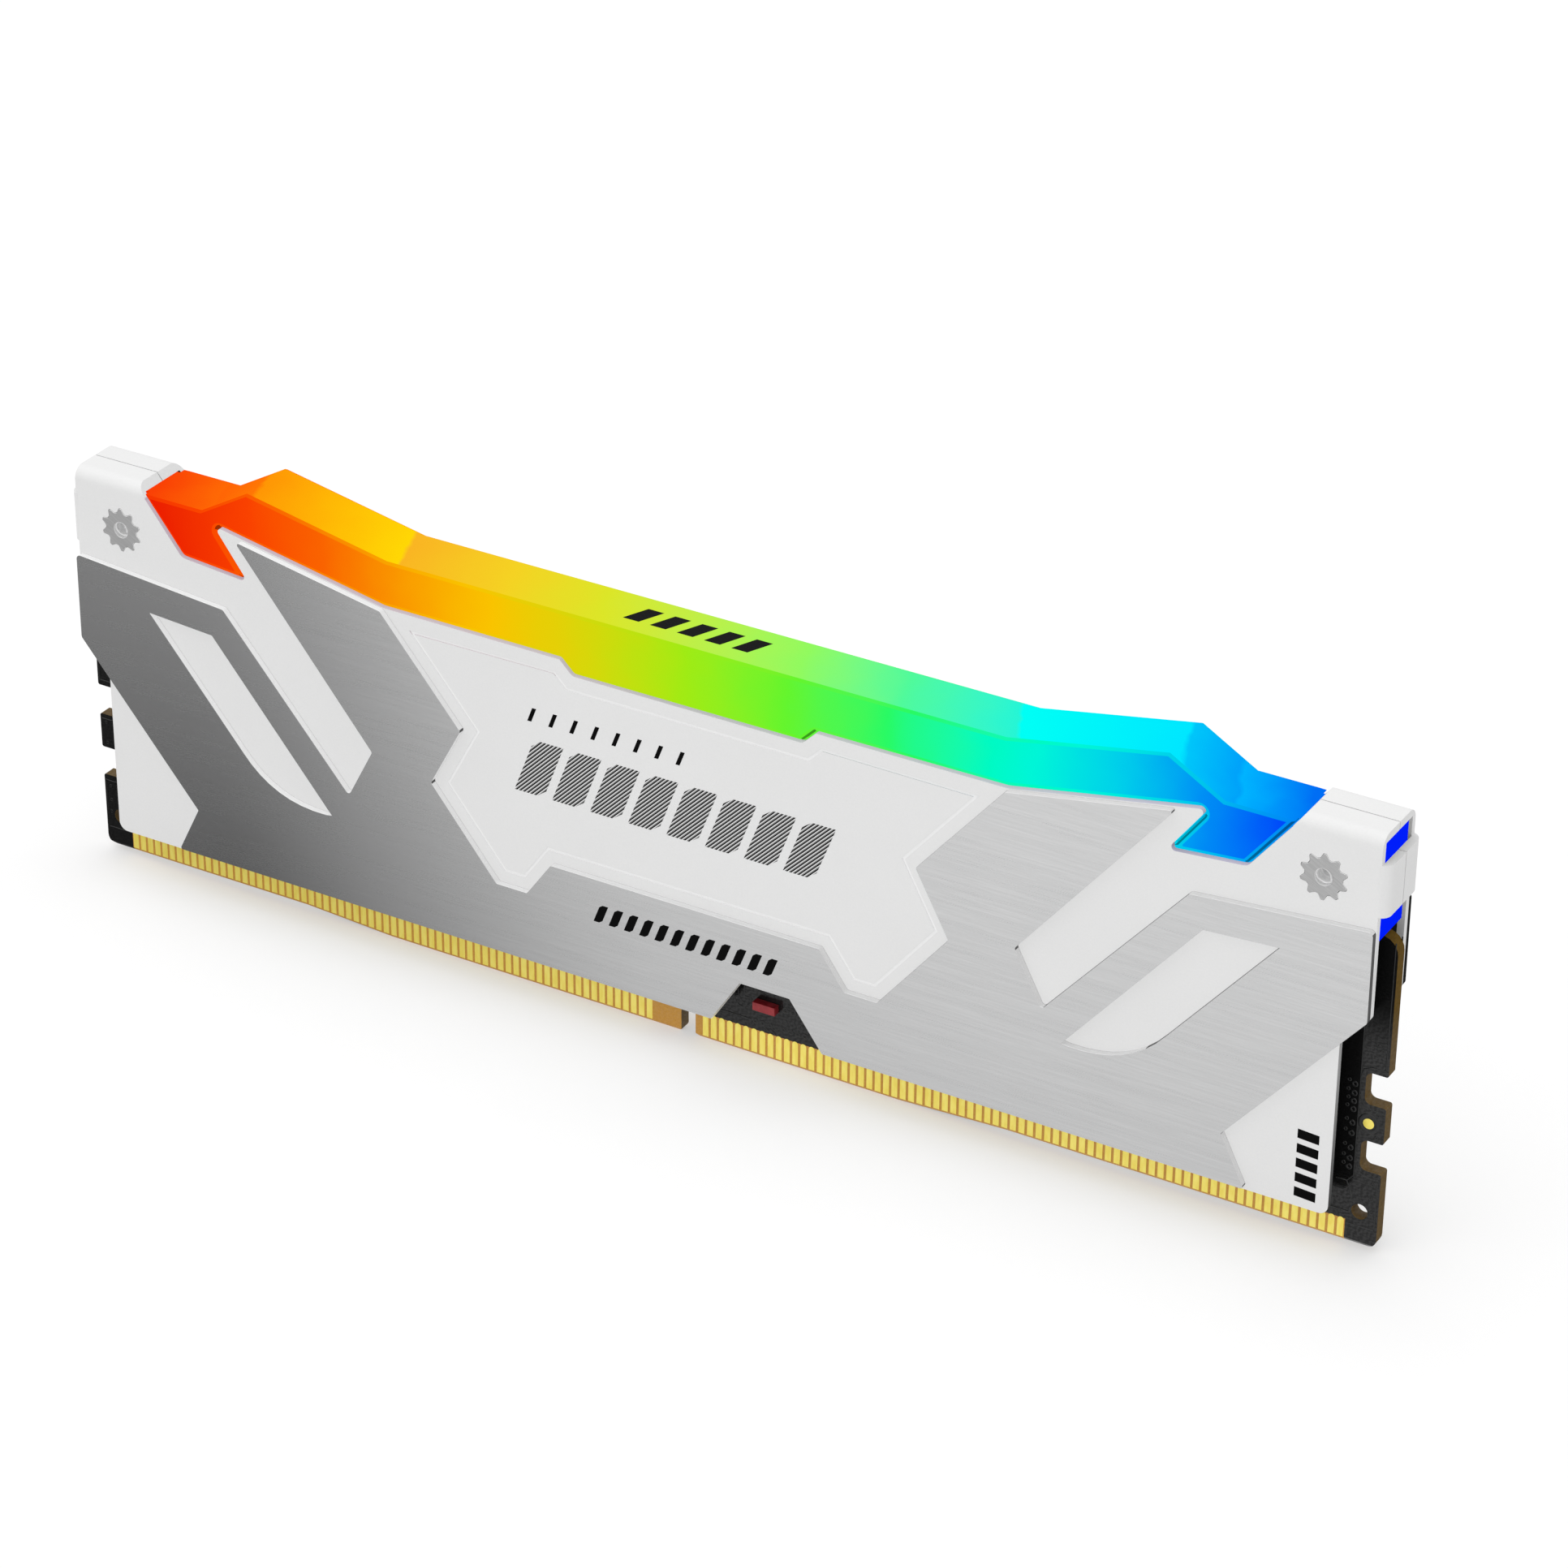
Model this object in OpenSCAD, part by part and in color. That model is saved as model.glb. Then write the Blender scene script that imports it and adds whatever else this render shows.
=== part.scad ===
// Illuminated desktop memory module: a gold-fingered board with its chips, clamped between
// two painted heat spreader shells that carry brushed trim plates and a translucent light bar.
// X runs along the module, Y through its thickness (front is -Y), Z up from the contact edge.

/* [Board] */
// Length of the circuit board
board_w = 133.35; // [133.2:0.05:133.5]
// Height of the circuit board
board_h = 31.25; // [31.1:0.05:31.4]
// Thickness of the circuit board
board_t = 1.27; // [1.17:0.05:1.37]
// How far the contact edge is raised at both ends
edge_rise = 0.5; // [0.3:0.1:0.6]
// Width of the key notch in the contact edge
key_w = 1.5; // [1.3:0.1:1.7]
// Height of the key notch
key_h = 4; // [3.5:0.25:4.2]
// Depth of each latch notch in the board's ends
latch_d = 2; // [1.6:0.1:2.1]
// Diameter of the tooling holes near the bottom corners
tooling_hole_d = 1.5; // [1.3:0.1:1.7]

/* [Contacts] */
// Distance between neighbouring contacts
contact_pitch = 0.85; // [0.84:0.01:0.86]
// Width of one contact
contact_w = 0.6; // [0.5:0.05:0.65]
// Height of the rounded top of the contacts
contact_top = 2.8; // [2.5:0.1:3]
// Contacts left of the key notch
contacts_left = 69; // [65:1:69]
// Contacts right of the key notch
contacts_right = 75; // [70:1:75]

/* [Heat spreader] */
// Thickness of the whole module over the trim plates
module_t = 7.66; // [7.6:0.02:7.8]
// Sheet thickness of the painted shells
shell_t = 0.6; // [0.5:0.05:0.75]
// Thickness of the brushed trim plates
plate_t = 0.64; // [0.6:0.02:0.7]
// Height of the folded end caps
cap_top = 41.8; // [41.6:0.1:42]
// Depth of the embossed line in the centre panel
emboss_d = 0.06; // [0.04:0.02:0.1]

/* [Light bar] */
// Height of the two peaks of the light bar
peak_z = 44; // [43.5:0.1:44.5]
// Thickness of the light bar over its two faces
bar_t = 6.5; // [6.4:0.1:6.8]
// Width of the shallow rim bevel round the light bar's faces
bar_rim = 0.45; // [0.3:0.05:0.5]
// Gap between the light bar and the shells
bar_gap = 0.18; // [0.1:0.02:0.24]

/* [Clamping] */
// Tip radius of the toothed inserts
insert_tip_r = 2.15; // [2:0.05:2.3]
// Root radius of the toothed inserts
insert_root_r = 1.7; // [1.5:0.05:1.8]
// Number of teeth of an insert
insert_teeth = 10; // [8:1:12]
// Diameter of the bore through inserts and posts
insert_bore_d = 1.6; // [1.4:0.1:1.8]
// Outer diameter of the clamping posts
post_d = 3; // [2.8:0.1:3.2]

/* [Components] */
// Number of memory chips on each side of the centre
chips_per_side = 4; // [1:1:4]
// Width of a memory chip
chip_w = 9.5; // [8:0.5:10]
// Height of a memory chip
chip_h = 11; // [10:0.5:12]
// Thickness of a memory chip
chip_t = 1; // [0.8:0.1:1.1]
// Distance between neighbouring memory chips
chip_pitch = 13.2; // [12.5:0.1:13.2]
// Number of light emitting diodes
led_count = 10; // [6:1:10]

/* [Hidden] */
$fn = 48;
CHIPS = [for (i = [1:2 * chips_per_side]) str("dram_", i)];
LEDS = [for (i = [1:led_count]) str("led_", i)];

cut = 1;                            // extra reach of every cutting solid
board_y = board_t / 2;              // board face
plate_y = module_t / 2;             // outer face of a trim plate
shell_y = plate_y - plate_t;        // outer face of a shell
inner_y = shell_y - shell_t;        // inner face of a shell
bar_y = bar_t / 2;                  // outer face of the light bar
rim_y = bar_y - 0.28;               // outer edge of its rim bevel
ridge_rim = 0.15;                   // width of the bevel along the bar's top
inner_r = 0.1;                      // smallest corner radius of the bar's flat face
half_w = board_w / 2;

// Bottom of the board: level at both ends, lower in the middle
rise_left = [-43.6, -34];
rise_right = [20.2, 31.3];
key_x = -1.4;                       // centre of the key notch
bevel = [0.25, 0.32];               // bevel of the contact edge, across and up
bevel_lap = 0.05;                   // overlap of neighbouring bevel cuts
bevel_end = 0.3;                    // how far the bevel stops short of the board's ends
latch_z = [[8.1, 11.1], [14.7, 17.8]];
latch_r = 0.6;                      // inner corners of the latch notches
nose_r = 0.2;                       // outer corners of the latch notches
tooling_hole = [64.97, 3.85];
fiducial = [65.2, 12.8];
fiducial_r = 0.5;
foil_t = 0.03;                      // copper and gold standing on the board
contact_start = 0.35;               // lowest point of a contact above the edge
contact_span = 126.65;              // first to last contact, centre to centre

// Heat spreader
cap_x = 65.7;                       // end of the shell walls
cap_r = 1.2;                        // outer bend radius along the cap's top
tab_z = [34.3, 39.2];
tab_r = 1;                          // outer bend radius of the end tabs
tab_x = 66.45;                      // outer face of the end tabs
fold_t = 0.74;                      // thickness of the folded leg of caps and tabs
seam = 0.1;                         // gap where the two shells meet
insert_at = [60.7, 36.7];
insert_proud = 0.05;
insert_gap = 0.05;                  // gap round a toothed insert
tooth = [0.36, 0.1];                // half width of a tooth at its root and tip, in pitches
tooth_r = 0.12;                     // radius of the tooth's corners
plate_z = 4.7;                      // bottom edge of a trim plate
shell_z = 4.3;                      // bottom edge of a shell
window = [[2.6, 14.6], [5.85, 10.95], 9.35];  // bottom x, top x, top z of the edge window
emboss_in = [1.15, 1.5];            // distance of the embossed line from the trim plate and the light bar
emboss_w = 0.25;

// Outlines are [x, z, corner radius] for the right half, mirrored to the left
bar_low = [[11.6, 35.25, 0.6], [12.92, 36.56, 0.4], [31.6, 36.62, 2], [50.5, 40.12, 0.5],
    [46.9, 35.24, 0.2], [53.8, 35.82, 0.7], [57.85, 41, 0]];
bar_high = [[51.5, 41, 0], [46.3, peak_z, 0], [31.2, 41.15, 0]];
bar_corners = both(concat(bar_low, bar_high));
bar_points = rounded(bar_corners);
plate_half = [[55.6, plate_z, 0.2], [53.2, 9.55, 0.1], [65.7, 24.55, 0.5], [65.65, 33.2, 0.45],
    [49.1, 31.85, 0.4], [35.8, 16.3, 0.3], [33.05, 21.55, 0.3], [47.4, 39.25, 0.2],
    [31.65, 36.4, 0.4], [23.3, 26.5, 0.3], [26.65, 20.3, 0.3], [19.8, 11.8, 0.3],
    [16.5, 11.8, 0.3], [13.9, 15.45, 0.3]];
blade = [[57.5, 29.25], [50.5, 28.8], [37.85, 13.55], [38.5, 13.45]];
blade_bend = [[38.5, 13.45], [44.3, 13.2], [47.6, 17.4]];
shell_half = [[63.15, shell_z, 0.9], [63.15, 21.5, 0.6], [cap_x, 24.55, 0.6], [cap_x, cap_top - cap_r, 0]];
panel_half = [for (i = [8:13]) plate_half[i]];

// Board furniture
chip_z = 16.5;                      // centre height of the memory chips
chip_x = 16;                        // first memory chip from the centre
power_size = [5, 0.8, 5];
power_z = 17;                       // centre height of the power chip
inductor_pitch = 5;
led_size = [3, 1.2, 1.5];
led_z = 30.2;
led_span = 117;                     // first to last light emitting diode
pad_over = 1;                       // how far a thermal pad reaches past its chips
core = [65.5, 2.35, board_h + 0.2, bar_low[6][1]];  // half length, half thickness, bottom and top of the bar's core
keel = [60, 0.5];                   // half length and half thickness of the foot under the core

function unit(v) = v / norm(v);
function flip(pts) = [for (i = [len(pts) - 1:-1:0]) [-pts[i][0], pts[i][1], pts[i][2]]];
function both(pts) = concat(pts, flip(pts));

// A corner p between a and b, rounded to radius r in n steps
function corner(a, p, b, r, n) =
    let (u = unit(a - p), v = unit(b - p), h = acos(u * v) / 2,
        c = p + unit(u + v) * r / sin(h), s = p + u * r / tan(h) - c, e = p + v * r / tan(h) - c,
        t0 = atan2(s[1], s[0]), d = (atan2(e[1], e[0]) - t0 + 540) % 360 - 180)
    [for (i = [0:n]) c + r * [cos(t0 + d * i / n), sin(t0 + d * i / n)]];

// An outline of [x, z, radius] as plain points
function rounded(o, n = 6) = [for (i = [0:len(o) - 1])
    let (a = o[(i + len(o) - 1) % len(o)], p = o[i], b = o[(i + 1) % len(o)])
    each (p[2] == 0 ? [[p[0], p[1]]]
        : corner([a[0], a[1]], [p[0], p[1]], [b[0], b[1]], p[2], n))];

function bend(p, t) = p[0] * (1 - t) * (1 - t) + 2 * p[1] * t * (1 - t) + p[2] * t * t;

// Height of the board's lower edge at x
function edge_z(x) = edge_rise * (x < 0
    ? max(0, min(1, (rise_left[1] - x) / (rise_left[1] - rise_left[0])))
    : max(0, min(1, (x - rise_right[0]) / (rise_right[1] - rise_right[0]))));

// A drawing in the X-Z plane, given thickness from y0 to y1
module upright(y0, y1) {
    translate([0, y1, 0]) rotate([90, 0, 0]) linear_extrude(height = y1 - y0) children();
}

// A profile in the Y-Z plane, drawn out from x0 to x1
module along(x0, x1) {
    translate([x0, 0, 0]) rotate([90, 0, 90]) linear_extrude(height = x1 - x0) children();
}

// A box on the board's front (side -1) or back (side 1) face, centred at x, z
module on_board(x, z, size, side = -1, lift = 0) {
    y0 = side < 0 ? -board_y - lift - size[1] : board_y + lift;
    translate([x - size[0] / 2, y0, z - size[2] / 2]) cube(size);
}

// A hole along Y through everything
module bore_y(x, z, d) {
    translate([x, module_t, z]) rotate([90, 0, 0]) cylinder(h = 2 * module_t, d = d);
}

// ---- Board ----

function latch_side() = [for (z = latch_z)
    each [[half_w, z[0], nose_r], [half_w - latch_d, z[0], latch_r],
        [half_w - latch_d, z[1], latch_r], [half_w, z[1], nose_r]]];

module board_outline() {
    bottom = [[-half_w, edge_rise, 1], [rise_left[0], edge_rise, 0], [rise_left[1], 0, 0],
        [key_x - key_w / 2, 0, 0.35], [key_x - key_w / 2, key_h, 0.7],
        [key_x + key_w / 2, key_h, 0.7], [key_x + key_w / 2, 0, 0.45],
        [rise_right[0], 0, 0], [rise_right[1], edge_rise, 0], [half_w, edge_rise, 1]];
    right = concat(latch_side(), [[half_w, board_h, 1.65]]);
    polygon(rounded(concat(bottom, right, flip(right))));
}

// Wedge that bevels one stretch of the contact edge, from p to q, on one face
module edge_bevel(p, q, side) {
    a = [side * (board_y - bevel[0]), 0];
    b = [side * board_y, bevel[1]];
    past = (b - a) / 2;
    translate([p[0], 0, p[1]]) rotate([0, -atan2(q[1] - p[1], q[0] - p[0]), 0])
        along(-bevel_lap, norm(q - p) + bevel_lap)
            polygon([a - past, b + past, [side * (board_y + cut), -cut]]);
}

module pcb() {
    reach = half_w - bevel_end;
    stops = [[-reach, edge_rise], [rise_left[0], edge_rise], [rise_left[1], 0],
        [rise_right[0], 0], [rise_right[1], edge_rise], [reach, edge_rise]];
    color([0.07, 0.07, 0.08]) difference() {
        upright(-board_y, board_y) board_outline();
        for (side = [-1, 1], i = [0:len(stops) - 2]) edge_bevel(stops[i], stops[i + 1], side);
        for (sx = [-1, 1]) bore_y(sx * tooling_hole[0], tooling_hole[1], tooling_hole_d);
    }
}

// One row of contacts, n of them from x0, on one face of the board
module contact_row(x0, n, side) {
    for (i = [0:n - 1]) {
        x = x0 + i * contact_pitch;
        low = edge_z(x) + contact_start;
        top = contact_top - contact_w / 2;
        y0 = side < 0 ? -board_y - foil_t : board_y;
        color([0.88, 0.82, 0.4]) upright(y0, y0 + foil_t) translate([x, 0]) {
            translate([-contact_w / 2, low]) square([contact_w, top - low]);
            translate([0, top]) circle(d = contact_w, $fn = 12);
        }
    }
}

module contacts_left_block(side) {
    contact_row(-contact_span / 2, contacts_left, side);
}

module contacts_right_block(side) {
    contact_row(contact_span / 2 - (contacts_right - 1) * contact_pitch, contacts_right, side);
}

module fiducials(side) {
    for (sx = side < 0 ? [1] : [-1, 1])
        color([0.8, 0.75, 0.35])
            translate([sx * fiducial[0], side < 0 ? -board_y : board_y + foil_t, fiducial[1]])
                rotate([90, 0, 0]) cylinder(h = foil_t, r = fiducial_r);
}

// ---- Light bar ----

module bar_outline() {
    polygon(bar_points);
}

// The inward normal of the side that leaves point i of an anticlockwise outline
function inward(pts, i) = let (u = unit(pts[(i + 1) % len(pts)] - pts[i])) [-u[1], u[0]];

// An outline moved inwards, side by side: d holds one distance for each side
function inset(pts, d) = [for (i = [0:len(pts) - 1])
    let (k = (i + len(pts) - 1) % len(pts), m = inward(pts, k), n = inward(pts, i), c = m * n)
    pts[i] + (d[k] == d[i] ? (m + n) * d[i] / (1 + c)
        : (m * (d[k] - d[i] * c) + n * (d[i] - d[k] * c)) / (1 - c * c))];

// Corners of the bar's flat face: inside the rim, with hollow corners rounder and others tighter
function bar_inner() =
    let (n = len(bar_corners), pts = [for (p = bar_corners) [p[0], p[1]]],
        small = inset(pts, [for (i = [0:n - 1])
            min(pts[i][1], pts[(i + 1) % n][1]) > bar_low[6][1] - 0.01 ? ridge_rim : bar_rim]))
    [for (i = [0:n - 1])
        let (r = bar_corners[i][2], hollow = inward(pts, (i + n - 1) % n) * (pts[(i + 1) % n] - pts[i]) < 0)
        [small[i][0], small[i][1], r == 0 ? 0 : hollow ? r + bar_rim : max(r - bar_rim, inner_r)]];

// The bar between its two faces: a flat slab of the inner outline, with a closed band round it
// that carries the side walls and the shallow bevel of each face
module bar_body() {
    small = rounded(bar_inner());
    n = len(small);
    rings = [[small, -bar_y], [bar_points, -rim_y], [bar_points, rim_y], [small, bar_y]];
    polyhedron(
        points = [for (r = rings, p = r[0]) [p[0], r[1], p[1]]],
        faces = [for (k = [0:3], i = [0:n - 1])
            let (j = (i + 1) % n, m = (k + 1) % 4, a = k * n + i, b = k * n + j, c = m * n + j)
            each [[a, b, c], [a, c, m * n + i]]]);
    rotate([90, 0, 0]) linear_extrude(height = 2 * bar_y, center = true) polygon(small);
}

module light_bar() {
    color([0.3, 0.9, 0.5]) difference() {
        union() {
            bar_body();
            translate([-core[0], -core[1], core[2]]) cube([2 * core[0], 2 * core[1], core[3] - core[2]]);
            translate([-keel[0], -keel[1], board_h]) cube([2 * keel[0], 2 * keel[1], core[3] - board_h]);
        }
        for (sx = [-1, 1]) bore_y(sx * insert_at[0], insert_at[1], post_d);
    }
}

// ---- Heat spreader ----

module plate_window() {
    polygon([[window[0][0], 0], [window[0][0], shell_z], [window[1][0], window[2]],
        [window[1][1], window[2]], [window[0][1], shell_z], [window[0][1], 0]]);
}

module blade_slot() {
    polygon(concat(blade, [for (i = [1:8]) bend(blade_bend, i / 8)]));
}

module plate(y0, y1) {
    color([0.75, 0.76, 0.78]) upright(y0, y1) difference() {
        polygon(rounded(both(plate_half)));
        blade_slot();
        mirror([1, 0]) blade_slot();
        plate_window();
    }
}

// The painted centre field between the trim plate and the light bar, moved inwards by the
// distances of the embossed line and a little more
module panel_outline(more) {
    edge = [for (i = [len(panel_half) - 1:-1:0]) panel_half[i]];
    pts = [for (p = both(concat(edge, [bar_low[1], bar_low[0]]))) [p[0], p[1]]];
    n = len(pts);
    polygon(inset(pts, [for (i = [0:n - 1])
        more + (min(pts[i][1], pts[(i + 1) % n][1]) < bar_low[0][1] ? emboss_in[0] : emboss_in[1])]));
}

module gear_outline(grow = 0) {
    pitch = 360 / insert_teeth;
    tip = insert_tip_r + grow;
    root = insert_root_r + grow;
    sides = [[-tooth[0], root], [-tooth[1], tip], [tooth[1], tip], [tooth[0], root]];
    corners = [for (i = [0:insert_teeth - 1], s = sides)
        let (a = 90 + (i + s[0]) * pitch) [s[1] * cos(a), s[1] * sin(a), tooth_r]];
    polygon(rounded(corners, 2));
}

// Flat wall of a shell, with the light bar, the window and the inserts cut out
module shell_wall() {
    difference() {
        polygon(rounded(both(shell_half)));
        offset(delta = bar_gap) bar_outline();
        plate_window();
        for (sx = [-1, 1]) translate([sx * insert_at[0], insert_at[1]]) gear_outline(insert_gap);
        for (m = [0, 1]) mirror([m, 0]) translate([tab_x - tab_r, tab_z[0]])
            square([cut, tab_z[1] - tab_z[0]]);
    }
}

// Sheet turned through a right angle: round outside at radius r, square inside, then a straight leg
module fold_profile(r, leg) {
    difference() {
        union() {
            intersection() {
                circle(r = r);
                translate([-r, 0]) square(r);
            }
            square([leg, r]);
        }
        translate([shell_t - r, -cut]) square([leg + r + cut, r - fold_t + cut]);
    }
}

// Folded top of one end: the sheet turns inwards and stops at the seam
module cap_fold() {
    fang = [bar_low[5], bar_low[6]];
    lean = (fang[1][0] - fang[0][0]) / (fang[1][1] - fang[0][1]);
    start = cap_top - cap_r;
    function slant(z) = fang[1][0] + bar_gap + (z - fang[1][1]) * lean;
    intersection() {
        along(slant(start), cap_x) translate([-shell_y + cap_r, start])
            fold_profile(cap_r, shell_y - cap_r - seam / 2);
        upright(-module_t, module_t)
            polygon([[slant(start), start], [slant(cap_top), cap_top], [cap_x, cap_top], [cap_x, start]]);
    }
}

// Folded tab that closes part of the end
module end_tab() {
    translate([tab_x - tab_r, -shell_y + tab_r, tab_z[0]]) linear_extrude(height = tab_z[1] - tab_z[0])
        mirror([1, -1]) fold_profile(tab_r, shell_y - tab_r - seam / 2);
}

module shell() {
    color([0.93, 0.93, 0.93]) difference() {
        union() {
            upright(-shell_y, -inner_y) shell_wall();
            for (m = [0, 1]) mirror([m, 0, 0]) {
                cap_fold();
                end_tab();
            }
        }
        upright(-shell_y - cut, -shell_y + emboss_d) difference() {
            panel_outline(0);
            panel_outline(emboss_w);
        }
    }
}

module insert(sx) {
    color([0.7, 0.7, 0.71]) difference() {
        translate([sx * insert_at[0], 0, insert_at[1]])
            upright(-shell_y - insert_proud, -inner_y) gear_outline();
        bore_y(sx * insert_at[0], insert_at[1], insert_bore_d);
    }
}

module clamp_post(sx) {
    color([0.7, 0.7, 0.71]) difference() {
        translate([sx * insert_at[0], inner_y, insert_at[1]]) rotate([90, 0, 0])
            cylinder(h = 2 * inner_y, d = post_d);
        bore_y(sx * insert_at[0], insert_at[1], insert_bore_d);
    }
}

// ---- Chips, pads and small components ----

module dram(i) {
    side = i <= chips_per_side ? -1 : 1;
    k = i <= chips_per_side ? chips_per_side - i : i - chips_per_side - 1;
    x = side * (chip_x + k * chip_pitch);
    base = 0.3;
    color([0.1, 0.1, 0.1]) on_board(x, chip_z, [chip_w, base, chip_h]);
    color([0.13, 0.13, 0.14]) on_board(x, chip_z, [chip_w - 0.2, chip_t - base, chip_h - 0.2], -1, base);
}

module led(i) {
    x = (i - (led_count + 1) / 2) * led_span / (led_count - 1);
    lens = [2.2, 0.3, 1];
    color("white") on_board(x, led_z, led_size);
    color([1, 1, 0.8]) on_board(x, led_z, lens, -1, led_size[1]);
}

module pad(x0, x1, z0, z1, lift) {
    color([0.55, 0.6, 0.68])
        translate([x0, -inner_y, z0]) cube([x1 - x0, inner_y - board_y - lift, z1 - z0]);
}

module thermal_pad_side(side) {
    a = chip_x - chip_w / 2 - pad_over;
    b = chip_x + (chips_per_side - 1) * chip_pitch + chip_w / 2 + pad_over;
    half_h = chip_h / 2 + pad_over;
    pad(side < 0 ? -b : a, side < 0 ? -a : b, chip_z - half_h, chip_z + half_h, chip_t);
}

module thermal_pad_back() {
    mirror([0, 1, 0]) pad(-60, 60, 9, 25, 0);
}

module power_chip() {
    color([0.15, 0.15, 0.15]) on_board(0, power_z, power_size);
}

module thermal_pad_power() {
    reach = power_size[0] / 2 + pad_over;
    pad(-reach, reach, power_z - reach, power_z + reach, power_size[1]);
}

module spd_hub() {
    color([0.15, 0.15, 0.15]) on_board(-5, 10.5, [3, 0.7, 2]);
}

module light_controller() {
    color([0.15, 0.15, 0.15]) on_board(8, 20.5, [4, 0.85, 4]);
}

module inductor(i) {
    color([0.3, 0.3, 0.32]) on_board((i - 2) * inductor_pitch, 25, [3.2, 1.2, 2.6]);
}

module red_capacitor() {
    color([0.5, 0.12, 0.15]) on_board(6.9, 5.7, [2.3, 0.8, 0.85]);
}

module bulk_capacitors() {
    for (sx = [-1, 1], z = [12, 14.5, 17])
        color([0.55, 0.45, 0.35]) on_board(sx * 7.5, z, [2.2, 1, 1.4]);
}

// Decoupling capacitors in rows below and above the memory chips
module capacitor_rows(side) {
    for (sx = [-1, 1], k = [0:chips_per_side - 1], j = [-1.5:1:1.5], z = [9.2, 26.2])
        color([0.6, 0.5, 0.4]) on_board(sx * (chip_x + k * chip_pitch) + j * 2.2, z, [1, 0.5, 0.5], side);
}

module back_capacitors() {
    for (i = [-9:1:9]) color([0.6, 0.5, 0.4]) on_board(i * 6, 27.5, [1.6, 0.8, 0.8], 1);
}

module resistor_packs() {
    for (sx = [-1, 1], k = [0:9]) color([0.1, 0.1, 0.1]) on_board(sx * (20 + k * 4.2), 6.5, [2, 0.4, 1]);
}

// ---- Assembly ----

pcb();
contacts_left_block(-1);  // contacts_front_left
contacts_right_block(-1);  // contacts_front_right
contacts_left_block(1);  // contacts_back_left
contacts_right_block(1);  // contacts_back_right
fiducials(-1);  // fiducials_front
fiducials(1);  // fiducials_back
shell();  // front_shell
mirror([0, 1, 0]) shell();  // back_shell
plate(-plate_y, -shell_y);  // front_plate
plate(shell_y, plate_y);  // back_plate
light_bar();
clamp_post(-1);  // clamp_post_left
clamp_post(1);  // clamp_post_right
insert(-1);  // insert_front_left
insert(1);  // insert_front_right
mirror([0, 1, 0]) insert(-1);  // insert_back_left
mirror([0, 1, 0]) insert(1);  // insert_back_right
thermal_pad_side(-1);  // thermal_pad_left
thermal_pad_side(1);  // thermal_pad_right
thermal_pad_power();
thermal_pad_back();
power_chip();
spd_hub();
light_controller();
inductor(1);  // inductor_1
inductor(2);  // inductor_2
inductor(3);  // inductor_3
red_capacitor();
bulk_capacitors();
capacitor_rows(-1);  // small_capacitors
back_capacitors();
resistor_packs();
for (i = [1:len(CHIPS)]) dram(i);
for (i = [1:len(LEDS)]) led(i);
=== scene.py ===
"""Looks for a desktop memory module: gold-fingered board, two painted heat spreader shells,
brushed trim plates and a light bar lit in a rainbow. Lengths in the tables are millimetres."""

import math

import bmesh
import bpy
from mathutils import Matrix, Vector


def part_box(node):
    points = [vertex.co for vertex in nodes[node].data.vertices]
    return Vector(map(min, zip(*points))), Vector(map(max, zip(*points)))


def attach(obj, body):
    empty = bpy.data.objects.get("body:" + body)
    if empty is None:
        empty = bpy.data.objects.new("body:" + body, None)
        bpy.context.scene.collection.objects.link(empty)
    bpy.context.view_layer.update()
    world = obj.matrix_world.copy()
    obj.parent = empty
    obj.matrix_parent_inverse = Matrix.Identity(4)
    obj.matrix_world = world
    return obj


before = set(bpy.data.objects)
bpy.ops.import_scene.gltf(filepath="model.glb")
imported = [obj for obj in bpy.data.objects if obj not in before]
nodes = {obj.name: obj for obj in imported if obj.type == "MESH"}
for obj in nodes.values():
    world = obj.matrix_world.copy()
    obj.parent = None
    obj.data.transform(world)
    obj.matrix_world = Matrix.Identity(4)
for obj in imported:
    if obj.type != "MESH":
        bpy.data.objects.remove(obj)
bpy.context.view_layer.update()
MM = 0.001

# Faces of the main parts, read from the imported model
BOARD_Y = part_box("pcb")[1].y / MM
SHELL_Y = -(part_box("front_plate")[1].y) / MM
PLATE_Y = -(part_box("front_plate")[0].y) / MM
BAR_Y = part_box("light_bar")[1].y / MM
INNER_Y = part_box("clamp_post_left")[1].y / MM
RIDGE_Z = 41.15                            # level middle of the light bar's top
HATCH_PITCH, HATCH_LINE = 0.283, 0.19      # distance and width of the fine diagonal lines
HATCH_REACH = 200                          # lines on either side of the middle, more than enough

# Regions that a material paints in a tone of their own, several of them as painted light and shade: half
# width along X, height or heights
GROOVE = 0.1                               # reach behind the shell's face that holds the embossed line
PANEL_X, PANEL_Z = 47.0, (12.0, 38.6)      # centre field with the embossed line
OPENING_X, OPENING_Z = 58.3, (34.6, 40.7)  # opening of the shells for the light bar
END_X, END_Z = 62.9, 22.5                  # narrow lower ends of the shells
LINING_X, LINING_Z = 65.05, 41.0           # inner side of the shells
TONGUE_X, TONGUE_Z = 63.72, 2.72           # bare laminate under the contacts
STRIP_X, STRIP_Z = (58.0, 64.19), 7.0      # board beside and under the shells' ends
BAR_END_X, BAR_TOP_Z = 60.0, 40.5          # outer ends of the light bar, and what counts as its top


# ---- Colours and materials ----

def light_of(value):
    """Linear light of one 8-bit screen value."""
    value = value / 255
    return value / 12.92 if value <= 0.04045 else ((value + 0.055) / 1.055) ** 2.4


def rgb(r, g, b):
    """Linear colour of three 8-bit screen values."""
    return (light_of(r), light_of(g), light_of(b), 1.0)


def grey(value):
    return (value, value, value, 1.0)


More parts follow.
